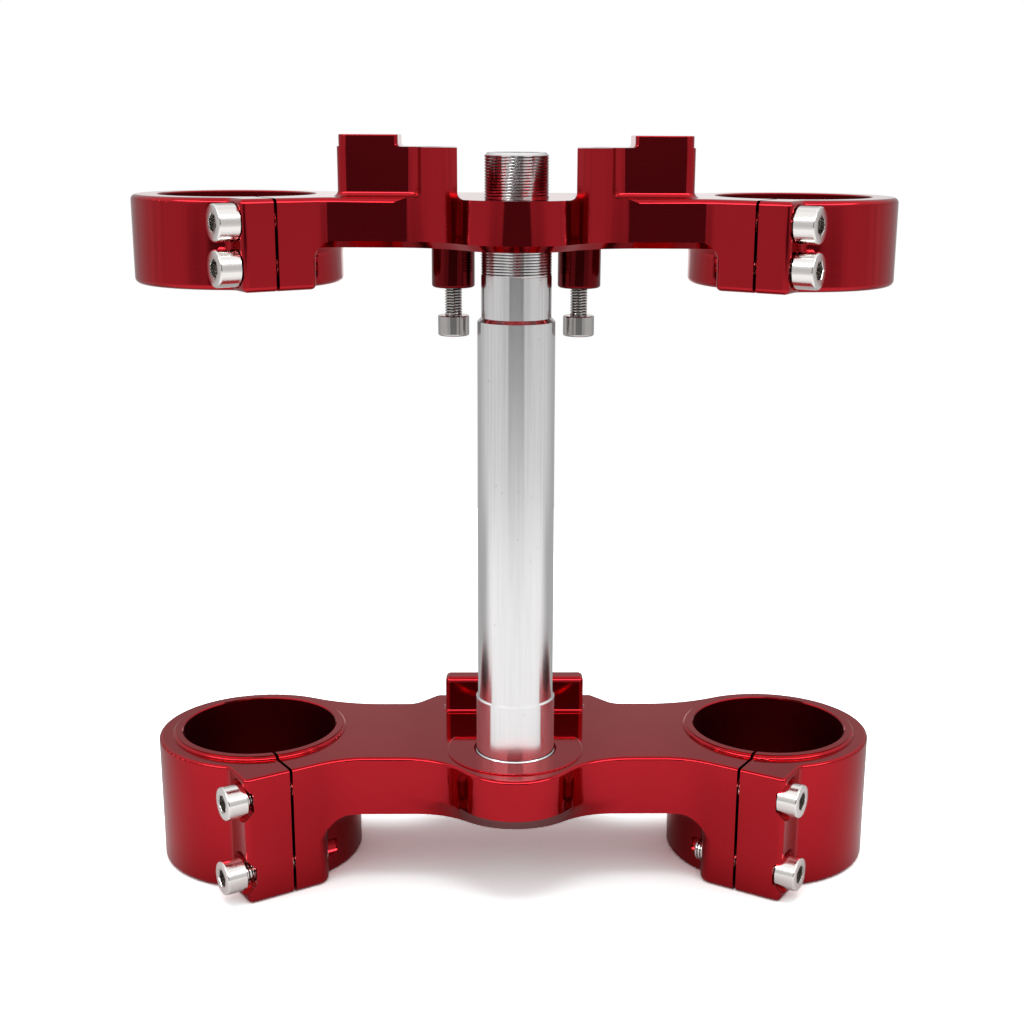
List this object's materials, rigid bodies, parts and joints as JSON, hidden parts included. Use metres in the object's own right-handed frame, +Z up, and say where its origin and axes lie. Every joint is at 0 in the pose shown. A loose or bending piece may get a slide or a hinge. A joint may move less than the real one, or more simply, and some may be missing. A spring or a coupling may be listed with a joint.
{
  "type": "motorcycle triple clamp",
  "caption": "Motorcycle triple clamp: upper and lower fork clamps with split rings and pinch bolts, joined by a hollow steering stem, with handlebar towers on top.",
  "frame": {"origin": "on the steering stem's axis, at the level of the lower clamp's top face", "axes": "+Z up along the stem, +Y from the stem towards the line between the fork legs (forwards), +X to the rider's right"},
  "size_m": [0.2828, 0.0964, 0.2807],
  "materials": {
    "red_anodised_aluminium": "polished, dyed anodised",
    "turned_aluminium": "turned, bare, lightly scratched",
    "stainless_steel": "polished bolt heads",
    "plated_steel": "dark zinc-plated screws"
  },
  "bodies": {
    "root": {"lower_clamp": "red_anodised_aluminium", "upper_clamp": "red_anodised_aluminium", "steering_stem": "turned_aluminium", "lower_pinch_bolt_left_top": "stainless_steel", "lower_pinch_bolt_left_bottom": "stainless_steel", "lower_pinch_bolt_right_top": "stainless_steel", "lower_pinch_bolt_right_bottom": "stainless_steel", "upper_pinch_bolt_left_top": "stainless_steel", "upper_pinch_bolt_left_bottom": "stainless_steel", "upper_pinch_bolt_right_top": "stainless_steel", "upper_pinch_bolt_right_bottom": "stainless_steel", "boss_screw_left": "plated_steel", "boss_screw_right": "plated_steel"}
  },
  "joints": []
}
